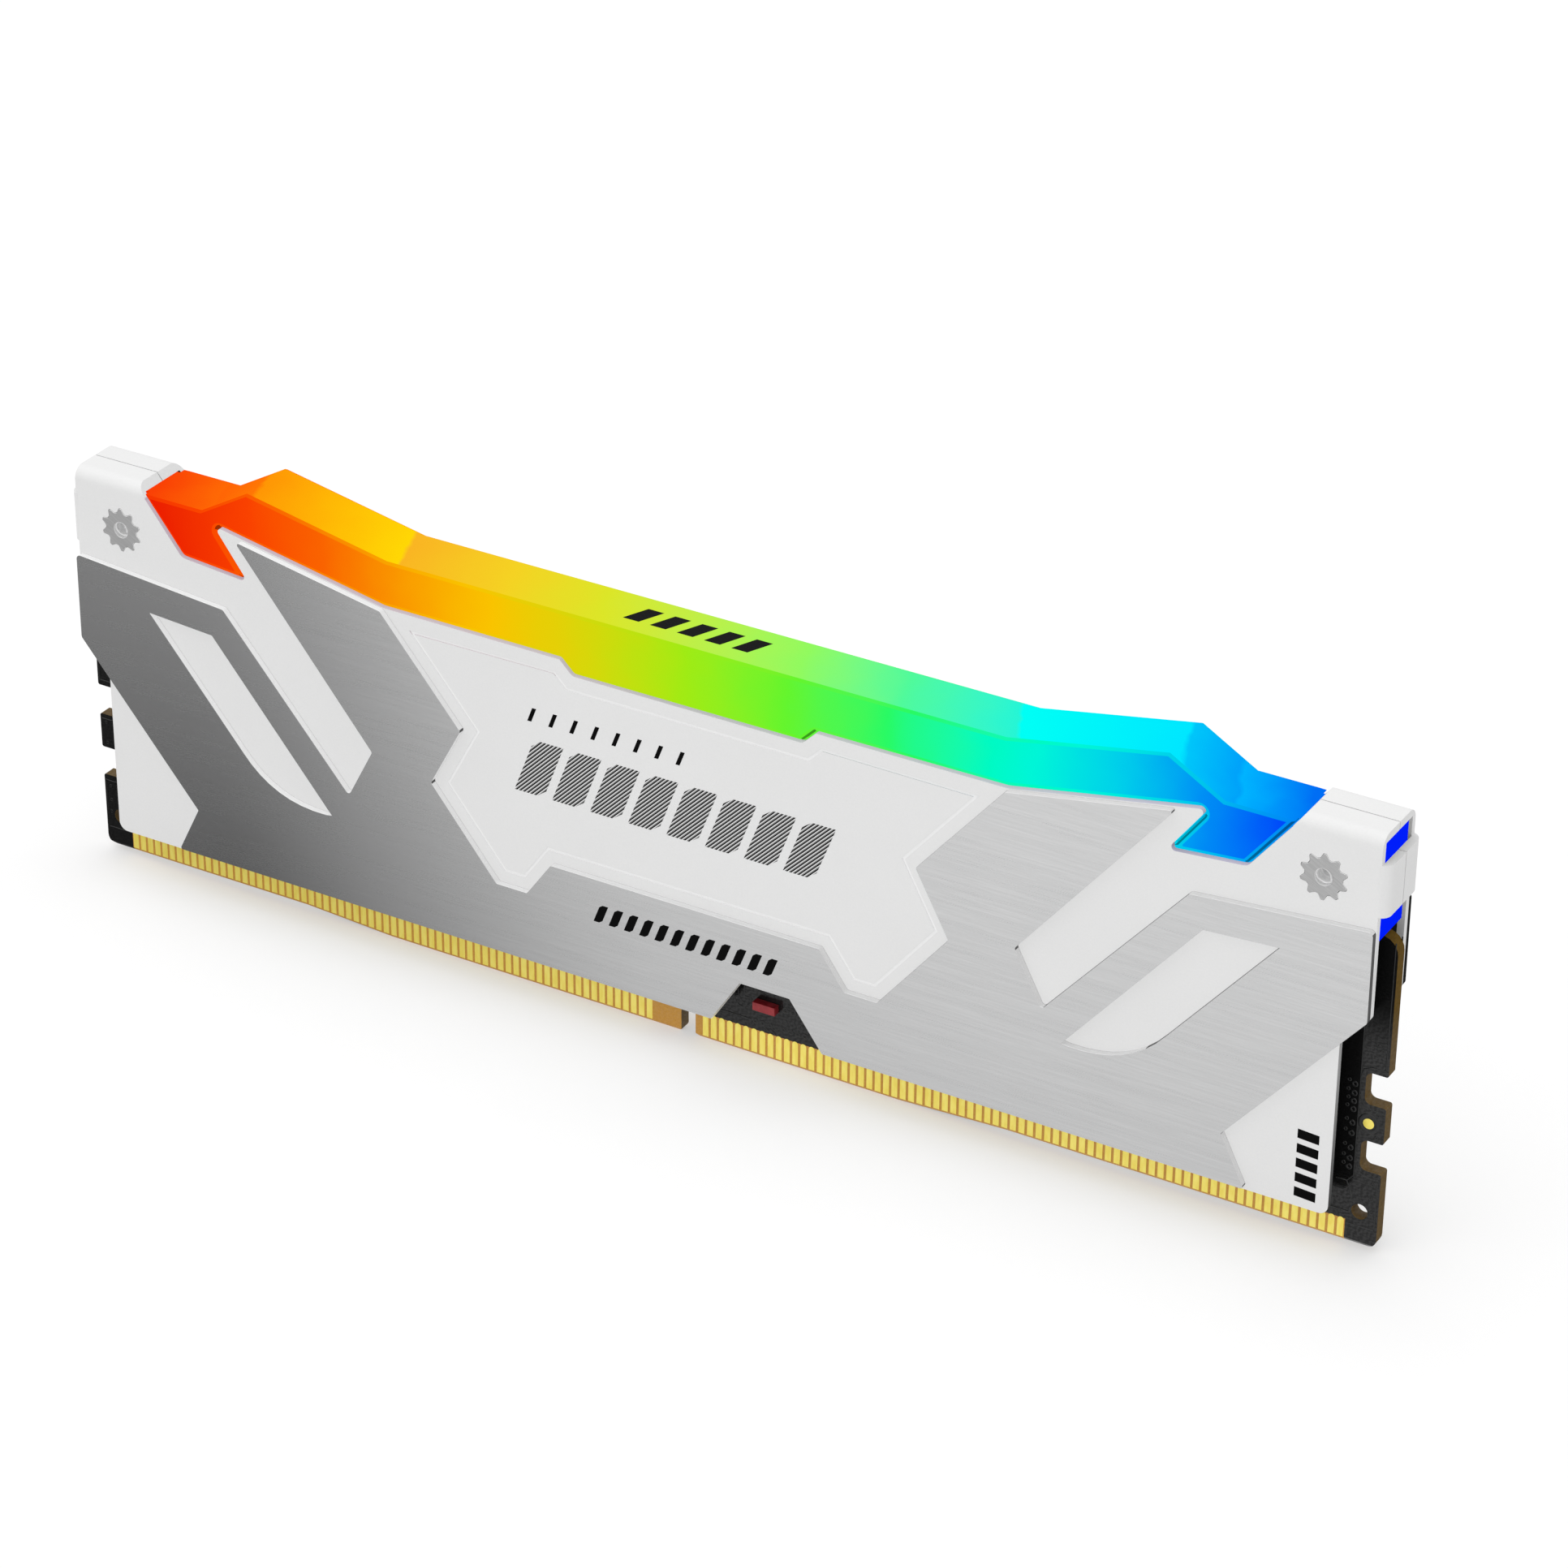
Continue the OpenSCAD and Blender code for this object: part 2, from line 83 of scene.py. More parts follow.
class Look:
    """A material with one Principled shader. Its methods add nodes and return their output."""

    def __init__(self, name, roughness=0.5, metallic=0.0, specular=0.5):
        self.material = bpy.data.materials.new(name)
        self.material.use_nodes = True
        self.tree = self.material.node_tree
        self.tree.nodes.clear()
        self.shader = self.tree.nodes.new("ShaderNodeBsdfPrincipled")
        out = self.tree.nodes.new("ShaderNodeOutputMaterial")
        self.tree.links.new(self.shader.outputs["BSDF"], out.inputs["Surface"])
        self.set("Roughness", roughness)
        self.set("Metallic", metallic)
        self.set("Specular IOR Level", specular)
        place = self.add("ShaderNodeTexCoord").outputs["Object"]
        scaled = self.add("ShaderNodeVectorMath", operation="SCALE")
        self.plug(scaled.inputs[0], place)
        scaled.inputs["Scale"].default_value = 1 / MM
        self.place = scaled.outputs["Vector"]
        self.x, self.y, self.z = self.split(self.place)
        normal = self.add("ShaderNodeNewGeometry").outputs["True Normal"]
        self.nx, self.ny, self.nz = self.split(normal)

    def add(self, kind, **settings):
        node = self.tree.nodes.new(kind)
        for key, value in settings.items():
            setattr(node, key, value)
        return node

    def plug(self, socket, value):
        if isinstance(value, bpy.types.NodeSocket):
            self.tree.links.new(value, socket)
        else:
            socket.default_value = value

    def set(self, name, value):
        self.plug(self.shader.inputs[name], value)

    def split(self, vector):
        node = self.add("ShaderNodeSeparateXYZ")
        self.plug(node.inputs[0], vector)
        return node.outputs["X"], node.outputs["Y"], node.outputs["Z"]

    def math(self, operation, a, b=0.0):
        node = self.add("ShaderNodeMath", operation=operation)
        self.plug(node.inputs[0], a)
        self.plug(node.inputs[1], b)
        return node.outputs[0]

    def scale(self, vector, by):
        node = self.add("ShaderNodeVectorMath", operation="MULTIPLY")
        self.plug(node.inputs[0], vector)
        self.plug(node.inputs[1], by)
        return node.outputs["Vector"]

    def remap(self, value, low, high, to_low=0.0, to_high=1.0, soft=False):
        """value from low..high to to_low..to_high, held at both ends."""
        node = self.add("ShaderNodeMapRange", interpolation_type="SMOOTHSTEP" if soft else "LINEAR")
        for key, v in zip(("Value", "From Min", "From Max", "To Min", "To Max"),
                          (value, low, high, to_low, to_high)):
            self.plug(node.inputs[key], v)
        return node.outputs["Result"]

    def above(self, value, limit):
        return self.math("GREATER_THAN", value, limit)

    def below(self, value, limit):
        return self.math("LESS_THAN", value, limit)

    def both(self, *masks):
        """Where all the masks are on."""
        made = masks[0]
        for mask in masks[1:]:
            made = self.math("MULTIPLY", made, mask)
        return made

    def mix(self, share, a, b, blend="MIX"):
        node = self.add("ShaderNodeMix", data_type="RGBA", blend_type=blend)
        self.plug(node.inputs[0], share)
        self.plug(node.inputs[6], a)
        self.plug(node.inputs[7], b)
        return node.outputs[2]

    def noise(self, vector, scale=1.0, detail=3.0, roughness=0.5):
        node = self.add("ShaderNodeTexNoise")
        self.plug(node.inputs["Vector"], vector)
        self.plug(node.inputs["Scale"], scale)
        self.plug(node.inputs["Detail"], detail)
        self.plug(node.inputs["Roughness"], roughness)
        return node.outputs["Fac"]

    def ramp(self, value, stops):
        """Colour at a value, from stops of (value, colour)."""
        node = self.add("ShaderNodeValToRGB")
        low, high = stops[0][0], stops[-1][0]
        elements = node.color_ramp.elements
        while len(elements) < len(stops):
            elements.new(0.5)
        for element, (at, colour) in zip(elements, stops):
            element.position = (at - low) / (high - low)
            element.color = colour
        self.plug(node.inputs[0], self.remap(value, low, high))
        return node.outputs["Color"]

    def bump(self, height, depth, strength):
        """A relief of that depth, in millimetres, where height runs from 0 to 1."""
        node = self.add("ShaderNodeBump")
        node.inputs["Strength"].default_value = strength
        node.inputs["Distance"].default_value = depth * MM
        self.plug(node.inputs["Height"], height)
        self.set("Normal", node.outputs["Normal"])

    def size(self, value):
        """Without its sign."""
        return self.math("ABSOLUTE", value)

    def viewed(self, value):
        """The same value as seen from a face's own side: X runs to the right on front and back."""
        return self.math("MULTIPLY", value, self.math("SIGN", self.y))

    def tinted(self, tone, red=1.0, green=1.0, blue=1.0):
        """A tone as a colour, with a slight tint."""
        node = self.add("ShaderNodeCombineColor")
        for socket, share in zip(node.inputs, (red, green, blue)):
            self.plug(socket, tone if share == 1.0 else self.math("MULTIPLY", tone, share))
        return node.outputs[0]


def bar_stops(rows):
    """Ramp stops of the light bar, from rows of X, red, green and blue."""
    return [(at, rgb(r, g, b)) for at, r, g, b in rows]


# A rainbow from red at the left end to blue at the right, in round screen values
FACE_RAINBOW = bar_stops([
    (-65, 230, 20, 0), (-57, 235, 25, 0), (-46, 250, 65, 0), (-38, 250, 100, 0), (-30, 250, 150, 0),
    (-20, 250, 195, 0), (-10, 215, 215, 10), (0, 160, 235, 20), (10, 100, 245, 45), (20, 40, 250, 100),
    (30, 0, 250, 195), (34, 0, 245, 215), (42, 0, 205, 235), (50, 0, 140, 245), (57, 0, 70, 250),
    (65, 0, 30, 250)])

# The same on the bar's top, paler on its level middle; each facet between two folds has its own run,
# lighter or darker as painted light and shade by the way it faces
RISE, PEAK, FALL, STEP = 31.2, 46.3, 51.5, 0.02
TOP_RAINBOW = bar_stops([
    (-58, 250, 65, 5), (-FALL - STEP, 255, 105, 5),
    (-FALL, 255, 100, 5), (-PEAK - STEP, 255, 120, 5),
    (-PEAK, 255, 150, 5), (-RISE - STEP, 255, 215, 5),
    (-RISE, 250, 180, 35), (-20, 245, 210, 35), (-10, 220, 230, 40),
    (10, 145, 250, 95), (20, 80, 250, 155), (RISE, 35, 245, 215),
    (RISE + STEP, 0, 255, 245), (PEAK, 0, 230, 255),
    (PEAK + STEP, 0, 200, 250), (FALL, 0, 160, 250),
    (FALL + STEP, 0, 180, 255), (58, 0, 110, 245)])


def white_paint():
    """Fine matt white coat, painted lighter on faces turned up than on upright ones, as painted shade.
    The walls round the light bar carry painted shade and a little painted light of the bar, the embossed
    line a painted highlight, the narrow lower ends painted shade, and the inner side is dark.
    """
    look = Look("white_paint", roughness=0.5, specular=0.4)
    fine = look.noise(look.place, 5.0, 3.0)
    broad = look.noise(look.place, 0.12, 2.0)
    tone = look.remap(look.math("ADD", fine, look.math("MULTIPLY", broad, 0.6)), 0.5, 1.1, 0.78, 0.81)
    # Painted light and shade: faces turned up are painted lighter and upright faces darker, as light from
    # above would make them.
    tone = look.math("MULTIPLY", tone, look.remap(look.nz, 0.2, 0.9, 0.938, 1.015))
    colour = look.tinted(tone, blue=0.998)
    depth, away = look.size(look.y), look.size(look.x)
    # Painted highlight: the floor of the embossed line is painted lighter than the coat round it.
    line = look.both(look.below(depth, SHELL_Y - 0.004), look.above(depth, SHELL_Y - GROOVE),
                     look.below(away, PANEL_X),
                     look.above(look.z, PANEL_Z[0]), look.below(look.z, PANEL_Z[1]))
    colour = look.mix(line, colour, grey(0.845))
    bar_wall_shade_and_spill = look.both(look.above(look.z, OPENING_Z[0]), look.below(look.z, OPENING_Z[1]),
                           look.below(away, OPENING_X), look.above(depth, INNER_Y - 0.02),
                           look.below(look.size(look.ny), 0.3))
    # Painted shade and painted light: the walls round the light bar are a shaded lavender grey with a tenth
    # of the bar's rainbow spilled on them.
    glow = look.mix(0.1, rgb(200, 193, 205), look.ramp(look.x, FACE_RAINBOW))
    colour = look.mix(bar_wall_shade_and_spill, colour, glow)
    # Painted shade: the sideways cut edges of the narrow lower ends darken towards the bottom.
    sideways = look.above(look.size(look.nx), 0.5)
    end = look.both(sideways, look.below(look.z, END_Z), look.above(away, END_X))
    colour = look.mix(end, colour, look.mix(look.remap(look.z, 5.0, 24.0), grey(0.06), grey(0.5)))
    inside = look.both(look.below(depth, INNER_Y + 0.02),
                       look.below(look.z, LINING_Z), look.below(away, LINING_X))
    look.set("Base Color", look.mix(inside, colour, grey(0.02)))
    look.bump(look.noise(look.place, 7.0, 2.0), 0.006, 0.5)
    return look.material


def brushed_plate():
    """Metal brushed along X: fine streaks in tone, gloss and relief. Cut walls carry a painted reflection
    of the studio, brighter towards the right, with a painted contact shadow where they stand on the shell;
    walls that face the left as seen from their own side, and those at the plate's ends, are painted dark as
    shade."""
    look = Look("brushed_plate", metallic=1.0)
    fine = look.noise(look.scale(look.place, (0.15, 3.0, 5.0)), 1.0, 6.0, 0.65)
    long = look.noise(look.scale(look.place, (0.045, 1.2, 1.5)), 1.0, 4.0, 0.6)
    streak = look.math("ADD", look.math("MULTIPLY", fine, 0.65), look.math("MULTIPLY", long, 0.35))
    colour = look.tinted(look.remap(streak, 0.3, 0.7, 0.6808, 0.7992), green=1.002, blue=1.005)

    # Cut walls: painted reflection, brighter towards the right, and a painted contact shadow at the foot
    wall = look.below(look.size(look.ny), 0.5)
    foot = look.below(look.size(look.y), SHELL_Y + 0.07)
    tone = look.remap(look.viewed(look.x), -20.0, 45.0, 0.684, 0.9)
    tone = look.math("MULTIPLY", tone, look.remap(foot, 0.0, 1.0, 1.0, 0.72))
    # Painted shade: walls facing the left as seen from their own side, and the end walls, are painted
    # nearly black.
    leftward = look.viewed(look.nx)
    painted_shade_left = look.above(leftward, 0.62)
    tone = look.mix(painted_shade_left, tone, grey(0.01))
    end = look.above(look.size(look.nx), 0.9)
    tone = look.mix(end, tone, look.mix(look.above(leftward, 0.0), grey(0.1), grey(0.004)))
    look.set("Base Color", look.mix(wall, colour, tone))

    # Walls painted dark as shade have no gloss
    dark = look.both(wall, look.math("MAXIMUM", end, painted_shade_left))
    look.set("Specular IOR Level", look.remap(dark, 0.0, 1.0, 0.5, 0.03))
    metallic = look.remap(wall, 0.0, 1.0, 1.0, 0.1)
    look.set("Metallic", look.math("SUBTRACT", metallic, look.math("MULTIPLY", dark, 0.1)))
    look.set("Roughness", look.remap(streak, 0.3, 0.7, 0.3, 0.2125))
    look.set("Anisotropic", 0.6)
    tangent = look.add("ShaderNodeTangent", direction_type="RADIAL", axis="X")
    look.set("Tangent", tangent.outputs[0])
    look.bump(streak, 0.004, 0.35)
    return look.material


def board():
    """Satin black mask on both faces, brown laminate on the cut edges and under the contacts. On the cut
    edges the laminate is painted darker as shade; under the contacts it glows faintly as painted light.
    """
    look = Look("board")
    weave = look.noise(look.scale(look.place, (3.0, 3.0, 9.0)), 1.2, 4.0, 0.6)
    patches = look.noise(look.place, 0.5, 2.0)
    mask = look.mix(look.remap(weave, 0.35, 0.65), grey(0.0035), grey(0.009))
    mask = look.mix(look.remap(patches, 0.4, 0.6), mask, grey(0.006))
    layers = look.math("SINE", look.math("MULTIPLY", look.y, 42.0))
    grain = look.noise(look.scale(look.place, (6.0, 1.0, 6.0)), 1.0, 5.0, 0.7)
    # The laminate's own brown, painted darker on the cut edges than under the contacts as shade.
    side = look.mix(look.remap(grain, 0.3, 0.7), rgb(82, 62, 22), rgb(112, 86, 32))
    side = look.mix(look.remap(layers, 0.2, 1.0, 0.0, 0.5), side, rgb(64, 48, 17))
    cut_edge = look.below(look.size(look.ny), 0.55)
    away = look.size(look.x)
    ground = look.both(look.below(look.z, TONGUE_Z), look.below(away, TONGUE_X))
    tongue = look.mix(look.remap(grain, 0.3, 0.7), rgb(176, 124, 42), rgb(190, 140, 54))
    colour = look.mix(ground, mask, tongue)
    colour = look.mix(cut_edge, colour, side)
    look.set("Base Color", colour)
    # Painted light: the bare laminate under the contacts glows faintly, though it is no lamp.
    look.set("Emission Color", look.mix(look.both(ground, look.below(cut_edge, 0.5)), grey(0.0), tongue))
    look.set("Emission Strength", 0.16)
    edge = look.math("MAXIMUM", ground, cut_edge)
    look.set("Roughness", look.remap(edge, 0.0, 1.0, 0.16, 0.62))

    # Painted highlight: the gloss of the mask is raised on one side of each small dent and lowered on the
    # other, as if light fell on them from one side
    beside = look.add("ShaderNodeVectorMath", operation="ADD")
    look.plug(beside.inputs[0], look.place)
    look.plug(beside.inputs[1], (0.14, 0.0, -0.12))
    bumps, shifted = [look.noise(look.scale(at, (2.6, 2.6, 3.4)), 1.3, 2.0, 0.5)
                      for at in (look.place, beside.outputs["Vector"])]
    gloss = look.remap(look.math("SUBTRACT", bumps, shifted), -0.14, 0.14, 0.62, 1.22)

    # Beside and under the shells' ends the board has almost no gloss: beside them that is the mask's own
    # dull strip, higher up towards the caps it is a painted shadow of their overhang
    outer = look.above(away, STRIP_X[0])
    strip = look.both(outer, look.below(away, STRIP_X[1]), look.above(look.z, STRIP_Z))
    top = look.remap(look.z, 19.0, 25.0, soft=True)
    dark = look.math("MAXIMUM", strip, look.both(top, outer))
    look.set("Specular IOR Level", look.math("MULTIPLY", look.remap(dark, 0.0, 1.0, 0.5, 0.04), gloss))
    look.bump(bumps, 0.015, 0.5)
    return look.material


def relief_mask():
    """The same mask over raised copper."""
    look = Look("board_relief", roughness=0.3)
    weave = look.noise(look.place, 3.0, 3.0)
    look.set("Base Color", look.mix(look.remap(weave, 0.35, 0.65), grey(0.005), grey(0.013)))
    look.bump(weave, 0.006, 0.4)
    return look.material


def gold():
    """Satin gold; a little light of its own stands for the reflection of a bright studio."""
    look = Look("gold", metallic=0.35)
    wear = look.noise(look.scale(look.place, (2.5, 2.5, 0.8)), 1.0, 4.0)
    colour = look.mix(look.remap(wear, 0.35, 0.65), rgb(238, 222, 112), rgb(230, 210, 92))
    look.set("Base Color", colour)
    look.set("Emission Color", colour)
    look.set("Emission Strength", 0.22)
    look.set("Roughness", look.remap(wear, 0.3, 0.7, 0.3, 0.42))
    look.bump(wear, 0.003, 0.4)
    return look.material


def light_bar():
    """Lit moulding: faces, rim bevels, top and walls each glow in their own run of the rainbow. The walls
    glow darker as painted shade, and the top's facets lighter or darker by the way they face, as painted
    light and shade.
    """
    look = Look("light_bar", roughness=0.28, specular=0.0)
    look.set("IOR", 1.0)
    facing, depth = look.size(look.ny), look.size(look.y)
    drift = look.remap(look.noise(look.place, 0.25, 2.0), 0.3, 0.7, -0.5, 0.5)
    x = look.math("ADD", look.x, drift)
    face = look.ramp(x, FACE_RAINBOW)
    rim = look.ramp(look.math("MULTIPLY", x, 0.88), FACE_RAINBOW)
    top = look.ramp(look.math("ADD", x, look.math("MULTIPLY", look.y, 0.4)), TOP_RAINBOW)
    deep = look.ramp(look.math("MULTIPLY", x, 1.1), FACE_RAINBOW)
    # Painted shade: the walls glow at a third of the rim's colour.
    wall = look.mix(1.0, rim, grey(0.33), blend="MULTIPLY")
    end = look.above(look.size(look.x), BAR_END_X)
    wall = look.mix(end, wall, deep)
    upper = look.both(look.above(look.nz, 0.2), look.above(look.z, BAR_TOP_Z))
    colour = look.mix(upper, wall, top)
    colour = look.mix(look.above(facing, 0.2), colour, rim)

    # Walls of the fangs turned away from the light are darker
    leftward = look.viewed(look.nx)
    outer_side = look.both(look.below(leftward, -0.2), look.below(look.nz, -0.15))
    notch_side = look.both(look.above(leftward, 0.3), look.above(look.nz, 0.15), look.below(look.nz, 0.45))
    shaded = look.both(look.math("MAXIMUM", outer_side, notch_side), look.below(depth, BAR_Y - 0.15))
    colour = look.mix(shaded, colour, look.mix(1.0, rim, grey(0.35), blend="MULTIPLY"))
    colour = look.mix(look.both(look.above(depth, INNER_Y), look.above(facing, 0.995)), colour, face)
    look.set("Base Color", grey(0.0))
    look.set("Emission Color", colour)
    look.set("Emission Strength", 1.0)
    return look.material


def plain(name, low, high, scale, roughness, depth, specular=0.5):
    """A simple grained material between two colours; depth is that of its relief."""
    look = Look(name, roughness=roughness, specular=specular)
    grain = look.noise(look.place, scale, 4.0)
    look.set("Base Color", look.mix(look.remap(grain, 0.35, 0.65), low, high))
    look.set("Roughness", look.remap(grain, 0.3, 0.7, roughness * 0.9, roughness * 1.15))
    look.bump(grain, depth, 0.4)
    return look.material


def hatch_ink():
    """Ink of the diagonal lines: black on the lower side of each line as painted shade, grey on its upper
    side as a painted highlight, so that the thin lines look raised.
    """
    look = Look("hatch_ink", specular=0.05)
    across = look.math("ADD", look.viewed(look.x), look.z)
    lines = look.math("MULTIPLY", across, math.sqrt(0.5) / HATCH_PITCH)
    share = look.math("FRACT", look.math("ADD", lines, float(HATCH_REACH)))
    look.set("Base Color", look.ramp(share, [(0.0, grey(0.01)), (0.08, grey(0.001)), (0.3, grey(0.002)),
                                             (0.42, grey(0.13)), (0.6, grey(0.25)), (1.0, grey(0.3))]))
    look.bump(look.noise(look.place, 5.0, 3.0), 0.002, 0.3)
    return look.material


def insert_metal():
    """Satin metal brushed on the slant; its walls, with the rim to the bore, are painted bright as a
    highlight.
    """
    look = Look("insert_metal", roughness=0.4, metallic=0.3)
    slanted_place = look.add("ShaderNodeCombineXYZ")
    look.plug(slanted_place.inputs[0],
              look.math("ADD", look.math("MULTIPLY", look.x, 4.0), look.math("MULTIPLY", look.z, 7.0)))
    look.plug(slanted_place.inputs[1], look.math("MULTIPLY", look.y, 3.0))
    look.plug(slanted_place.inputs[2],
              look.math("MULTIPLY", look.math("SUBTRACT", look.x, look.z), 0.3))
    streak = look.noise(slanted_place.outputs[0], 1.0, 4.0, 0.6)
    colour = look.mix(look.remap(streak, 0.3, 0.7), grey(0.37), grey(0.47))
    # Painted highlight: walls of the insert are painted bright grey.
    wall = look.below(look.size(look.ny), 0.6)
    look.set("Base Color", look.mix(wall, colour, grey(0.8)))
    look.bump(streak, 0.004, 0.4)
    return look.material


def bore_metal():
    """Bright turned metal of the clamping bores; its own faint light stands for the gloss inside."""
    look = Look("bore_metal", roughness=0.3, metallic=0.15)
    grain = look.noise(look.place, 3.0, 4.0)
    look.set("Base Color", look.mix(look.remap(grain, 0.35, 0.65), grey(0.7), grey(0.82)))
    look.set("Emission Color", look.mix(look.remap(look.nz, -1.0, 1.0), grey(0.02), grey(0.13)))
    look.set("Emission Strength", 1.0)
    look.bump(grain, 0.002, 0.4)
    return look.material


def ceramic():
    """Brown bodies of the capacitors."""
    look = Look("ceramic", roughness=0.45)
    grain = look.noise(look.place, 6.0, 4.0)
    look.set("Base Color", look.mix(look.remap(grain, 0.35, 0.65), rgb(150, 118, 84), rgb(176, 142, 104)))
    look.bump(grain, 0.01, 0.4)
    return look.material


def led_package():
    """White package that glows faintly."""
    look = Look("led", roughness=0.3)
    grain = look.noise(look.place, 4.0, 3.0)
    look.set("Base Color", look.mix(grain, rgb(236, 236, 226), rgb(250, 248, 236)))
    look.set("Emission Color", look.mix(grain, rgb(236, 240, 255), rgb(255, 255, 255)))
    look.set("Emission Strength", 0.6)
    return look.material


PAINT = white_paint()
PLATE = brushed_plate()
BOARD = board()
RELIEF = relief_mask()
GOLD = gold()
BAR = light_bar()
INSERT = insert_metal()
CHROME = bore_metal()
PAD = plain("thermal_pad", rgb(150, 160, 172), rgb(172, 180, 190), 2.5, 0.8, 0.03, specular=0.3)
CHIP = plain("chip", grey(0.012), grey(0.022), 8.0, 0.55, 0.01)
RED = plain("red_resin", rgb(132, 22, 30), rgb(152, 34, 42), 1.5, 0.22, 0.004)
CERAMIC = ceramic()
LED = led_package()
HATCH = hatch_ink()
INK = plain("black_ink", grey(0.0008), grey(0.0016), 5.0, 0.5, 0.002, specular=0.05)

# How a node's name starts: its material, and the width of its rounded edges
LOOKS = {
    "pcb": (BOARD, 0.04), "contacts": (GOLD, 0.012), "fiducials": (GOLD, 0.012),
    "front_shell": (PAINT, 0.024), "back_shell": (PAINT, 0.024),
    "front_plate": (PLATE, 0.1), "back_plate": (PLATE, 0.1),
    "light_bar": (BAR, 0.05), "clamp_post": (CHROME, 0.04), "insert": (INSERT, 0.05),
    "thermal_pad": (PAD, 0.1), "power_chip": (CHIP, 0.05), "spd_hub": (CHIP, 0.05),
    "light_controller": (CHIP, 0.05), "inductor": (CHIP, 0.1), "dram": (CHIP, 0.06),
    "red_capacitor": (RED, 0.05), "bulk_capacitors": (CERAMIC, 0.06),
    "small_capacitors": (CERAMIC, 0.03), "back_capacitors": (CERAMIC, 0.04),
    "resistor_packs": (CHIP, 0.03), "led": (LED, 0.06)}


def dress(node):
    """Gives a CAD node its material, and rounds its sharp edges without touching its own mesh."""
    key = next(k for k in sorted(LOOKS, key=len, reverse=True) if node.name.startswith(k))
    material, width = LOOKS[key]
    node.data.materials.clear()
    node.data.materials.append(material)
    weld = node.modifiers.new("weld", "WELD")
    weld.merge_threshold = 1e-6
    flat = node.modifiers.new("flat", "DECIMATE")
    flat.decimate_type = "DISSOLVE"
    flat.angle_limit = math.radians(0.5)
    edge = node.modifiers.new("edge", "BEVEL")
    edge.width = width * MM
    edge.segments = 3 if width >= 0.1 else 2
    edge.limit_method = "ANGLE"
    edge.angle_limit = math.radians(35)
    edge.miter_outer = "MITER_ARC"
    edge.use_clamp_overlap = True
    edge.harden_normals = False
    normals = node.modifiers.new("normals", "WEIGHTED_NORMAL")
    normals.weight = 80
    normals.keep_sharp = False


for name in sorted(nodes):
    dress(nodes[name])

# The bar's light and the plates' gloss don't stain the white paint beside them
for name in ("light_bar", "front_plate", "back_plate"):
    nodes[name].visible_diffuse = False
nodes["light_bar"].visible_glossy = False


# ---- Meshes of the added pieces ----

class Mesh:
    """Collects closed solids, in millimetres."""

    def __init__(self):
        self.points, self.faces = [], []

    def add(self, points, faces):
        start = len(self.points)
        self.points += points
        self.faces += [[start + i for i in face] for face in faces]

    def loft(self, rings, closed=False):
        """Rings of equal length, joined in turn; capped at both ends unless closed on itself."""
        n, count = len(rings[0]), len(rings)
        faces = []
        for k in range(count if closed else count - 1):
            m = (k + 1) % count
            faces += [[k * n + i, k * n + (i + 1) % n, m * n + (i + 1) % n, m * n + i]
                      for i in range(n)]
        if not closed:
            faces += [list(range(n)), [(count - 1) * n + i for i in range(n)]]
        self.add([p for ring in rings for p in ring], faces)

    def slab(self, outline, low, high, across):
        """A flat solid: outline in a plane, low to high along its normal; across maps (a, b, height)."""
        self.loft([[across(a, b, h) for a, b in outline] for h in (low, high)])

    def ring(self, centre, profile, across, count=28):
        """A closed profile of (radius, height) turned round a centre."""
        rings = []
        for i in range(count):
            c, s = math.cos(2 * math.pi * i / count), math.sin(2 * math.pi * i / count)
            rings.append([across(centre[0] + r * c, centre[1] + r * s, h) for r, h in profile])
        self.loft(rings, closed=True)

    def ribbon(self, path, width, profile, across):
        """A raised line along a path; profile is (share of the half width, height)."""
        rings = []
        for i, (a, b) in enumerate(path):
            before, after = path[max(i - 1, 0)], path[min(i + 1, len(path) - 1)]
            d0 = Vector((a - before[0], b - before[1])) if i else Vector((after[0] - a, after[1] - b))
            d1 = Vector((after[0] - a, after[1] - b)) if i < len(path) - 1 else d0
            d0.normalize()
            d1.normalize()
            along = (d0 + d1).normalized()
            side = Vector((-along.y, along.x)) / max(along.dot(d1), 0.5)
            rings.append([across(a + side.x * s * width / 2, b + side.y * s * width / 2, h)
                          for s, h in profile])
        self.loft(rings)

    def piece(self, name, material, slot, smooth=None):
        """Makes the object; smooth is the angle in degrees up to which its faces are shaded as one."""
        mesh = bpy.data.meshes.new(name)
        mesh.from_pydata([Vector(p) * MM for p in self.points], [], self.faces)
        made = bmesh.new()
        made.from_mesh(mesh)
        bmesh.ops.recalc_face_normals(made, faces=made.faces)
        made.to_mesh(mesh)
        made.free()
        if smooth is not None:
            mesh.polygons.foreach_set("use_smooth", [True] * len(mesh.polygons))
            mesh.set_sharp_from_angle(angle=math.radians(smooth))
        mesh.materials.append(material)
        thing = bpy.data.objects.new(name, mesh)
        bpy.context.scene.collection.objects.link(thing)
        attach(thing, "root")


def on_face(y, turn=1):
    """Maps (a, b, height) to the front face at -y, or to the back face when turn is -1."""
    return lambda a, b, h: (turn * a, -turn * (y + h), b)


def mirrored_face(y):
    """The back face with the same x as the front."""
    return lambda a, b, h: (a, y + h, b)


def on_top(z):
    """A level face that looks up."""
    return lambda a, b, h: (a, b, z + h)


def clip(outline, normal, limit):
    """The part of a convex outline on the side where normal . p <= limit."""
    kept = []
    for p, q in zip(outline, outline[1:] + outline[:1]):
        dp = normal[0] * p[0] + normal[1] * p[1] - limit
        dq = normal[0] * q[0] + normal[1] * q[1] - limit
        if dp <= 0:
            kept.append(p)
        if dp * dq < 0:
            t = dp / (dp - dq)
            kept.append((p[0] + t * (q[0] - p[0]), p[1] + t * (q[1] - p[1])))
    return kept


# ---- Printed bars, a thin raised ink whose foot is just under the face ----

